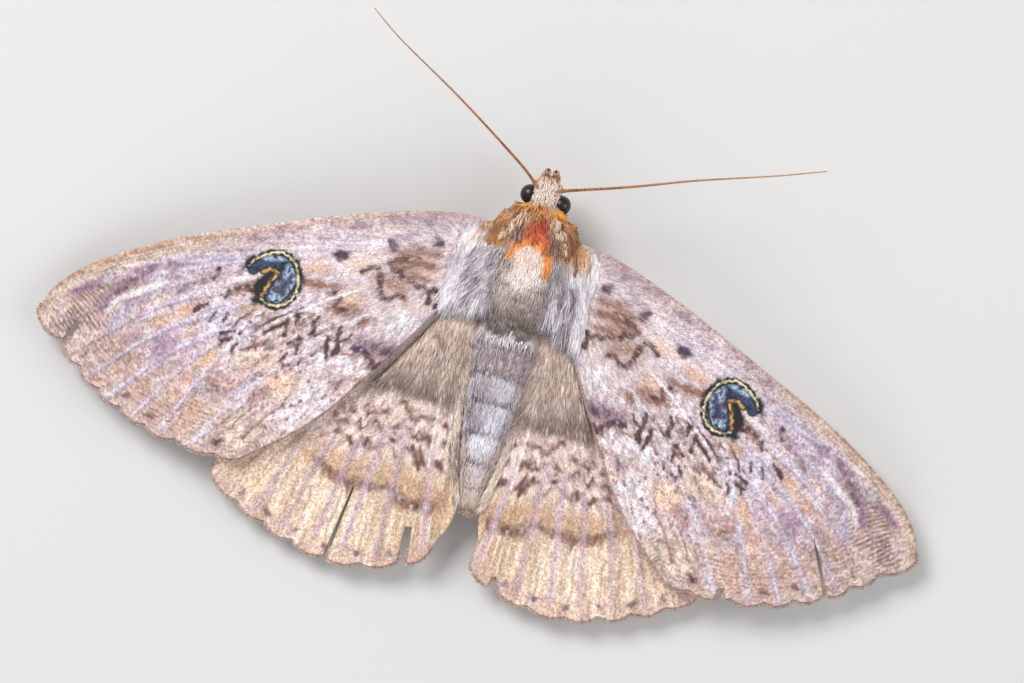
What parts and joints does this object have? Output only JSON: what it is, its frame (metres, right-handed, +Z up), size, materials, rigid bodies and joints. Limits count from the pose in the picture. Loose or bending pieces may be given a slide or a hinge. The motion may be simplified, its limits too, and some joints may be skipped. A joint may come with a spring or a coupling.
{
  "type": "northern wattle moth model",
  "caption": "Life-size still model of a large patterned moth, wings spread flat, body raised on its legs and antennae reaching forward.",
  "frame": {"origin": "middle of the whole moth's box, at the floor under its feet", "axes": "+X to the moth's left, along the wing span; -Y towards its head; +Z up"},
  "size_m": [0.0799, 0.0473, 0.0096],
  "materials": {
    "wing_scales": "fine powdery scales, lilac pink and tan with dark brown marks",
    "body_fur": "long soft hair, grey brown with an orange and cream crest",
    "abdomen_scales": "silky silver grey scales with brown rings",
    "eye": "glossy, nearly black",
    "antenna": "orange brown, dull",
    "leg": "scaly, brown with pale rings"
  },
  "bodies": {
    "root": {"head": "body_fur", "thorax": "body_fur", "abdomen": "abdomen_scales", "proboscis": "antenna", "eye_left": "eye", "eye_right": "eye", "antenna_left": "antenna", "antenna_right": "antenna", "palp_left": "body_fur", "palp_right": "body_fur", "forewing_left": "wing_scales", "forewing_right": "wing_scales", "hindwing_left": "wing_scales", "hindwing_right": "wing_scales", "foreleg_left": "leg", "foreleg_right": "leg", "midleg_left": "leg", "midleg_right": "leg", "hindleg_left": "leg", "hindleg_right": "leg"}
  },
  "joints": []
}
